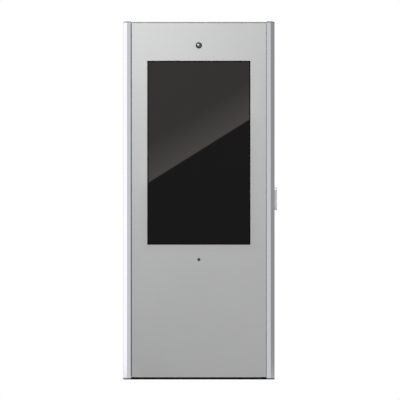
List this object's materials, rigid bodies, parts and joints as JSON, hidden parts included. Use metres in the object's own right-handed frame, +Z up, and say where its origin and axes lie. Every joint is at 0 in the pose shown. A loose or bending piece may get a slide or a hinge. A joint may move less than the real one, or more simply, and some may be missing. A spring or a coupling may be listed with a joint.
{
  "type": "touchscreen kiosk",
  "caption": "Floor-standing kiosk with a portrait touch screen between two chamfered aluminium columns, a camera, a side card reader and a hinged rear service door.",
  "frame": {"origin": "on the floor, at the middle of the floor anchor pattern in the base plate", "axes": "+Z up, the screen faces -Y, +X to the right of someone who faces the screen"},
  "size_m": [0.7905, 0.2095, 1.84],
  "materials": {
    "anodised_aluminium": "satin anodised extrusion, drawn lengthwise",
    "cap_plastic": "grey moulded plastic",
    "black_steel": "black powder coat",
    "black_rubber": "matt black rubber",
    "zinc_steel": "zinc-plated sheet",
    "panel_paint": "silver-grey fine-texture powder coat",
    "cover_paint": "grey fine-texture powder coat, matching the column caps",
    "screw_steel": "zinc-plated fastener",
    "touch_glass": "toughened cover glass",
    "display_black": "switched-off display",
    "acrylic": "white acrylic light guide",
    "bezel_black": "dark anodised turned ring",
    "lens_glass": "coated camera window",
    "black_plastic": "moulded black plastic",
    "reader_plastic": "light grey moulded plastic",
    "smoked_plastic": "smoked glossy plastic",
    "button_metal": "turned aluminium",
    "seal_foam": "closed-cell foam",
    "hinge_steel": "brushed stainless steel",
    "lock_chrome": "chromed lock",
    "filter_foam": "open-cell filter foam"
  },
  "bodies": {
    "cabinet": {"column_left": "anodised_aluminium", "column_right": "anodised_aluminium", "column_caps": "cap_plastic", "column_feet": "cap_plastic", "base_plate": "black_steel", "base_seals": "black_rubber", "base_brackets": "black_steel", "cross_rails": "zinc_steel", "equipment_shelf": "zinc_steel", "top_cover": "cover_paint", "cabinet_screws": "screw_steel", "front_panel": "panel_paint", "panel_screws": "screw_steel", "display_gasket": "black_rubber", "touch_glass": "touch_glass", "lcd_cell": "display_black", "light_guide": "acrylic", "lcd_chassis": "zinc_steel", "driver_cover": "zinc_steel", "display_frame": "zinc_steel", "display_clamps": "zinc_steel", "display_nuts": "screw_steel", "camera_bezel": "bezel_black", "camera_lens": "lens_glass", "camera_module": "black_plastic", "camera_bracket": "zinc_steel", "camera_nut": "black_plastic", "microphone_grille": "bezel_black", "microphone_capsule": "black_plastic", "reader_backplate": "black_plastic", "reader_cover": "reader_plastic", "reader_window": "smoked_plastic", "small_screws": "screw_steel", "connection_panel": "panel_paint", "power_inlet": "black_plastic", "switch_frame": "black_plastic", "data_socket": "screw_steel", "cable_grommet": "black_rubber", "computer_case": "black_steel", "power_supply": "zinc_steel", "hinge_frame_leaves": "hinge_steel", "hinge_pins": "hinge_steel", "hinge_frame_screws": "screw_steel"},
    "door": {"door_panel": "panel_paint", "door_seal": "seal_foam", "hinge_door_leaves": "hinge_steel", "hinge_door_screws": "screw_steel", "lock_bodies": "lock_chrome", "fan_frames": "black_plastic", "fan_guards": "screw_steel", "filter_frame": "black_plastic", "filter_mat": "filter_foam", "door_screws": "screw_steel"},
    "lock_upper": {"lock_upper_barrel": "lock_chrome"},
    "lock_lower": {"lock_lower_barrel": "lock_chrome"},
    "fan_left": {"fan_left_rotor": "black_plastic"},
    "fan_right": {"fan_right_rotor": "black_plastic"},
    "rocker": {"rocker_switch": "smoked_plastic"},
    "button": {"computer_button": "button_metal"}
  },
  "joints": [
    {"name": "door_swing", "type": "hinge", "parent": "cabinet", "child": "door", "pos_m": [-0.348, 0.105, 0.984], "axis": [0, 0, 1], "range_deg": [0, 170]},
    {"name": "lock_upper_turn", "type": "hinge", "parent": "door", "child": "lock_upper", "pos_m": [0.315, 0.1, 1.4485], "axis": [0, 1, 0], "range_deg": [0, 90]},
    {"name": "lock_lower_turn", "type": "hinge", "parent": "door", "child": "lock_lower", "pos_m": [0.315, 0.1, 0.5], "axis": [0, 1, 0], "range_deg": [0, 90]},
    {"name": "fan_left_spin", "type": "hinge", "parent": "door", "child": "fan_left", "pos_m": [-0.1, 0.085, 1.6885], "axis": [0, 1, 0], "continuous": true},
    {"name": "fan_right_spin", "type": "hinge", "parent": "door", "child": "fan_right", "pos_m": [0.1, 0.085, 1.6885], "axis": [0, 1, 0], "continuous": true},
    {"name": "rocker_tilt", "type": "hinge", "parent": "cabinet", "child": "rocker", "pos_m": [0.19, 0.099, 0.075], "axis": [-1, 0, 0], "range_deg": [0, 16]},
    {"name": "button_press", "type": "slide", "parent": "cabinet", "child": "button", "axis": [0, -1, 0], "range_m": [0, 0.0015], "stiffness_N_per_m": 400}
  ]
}
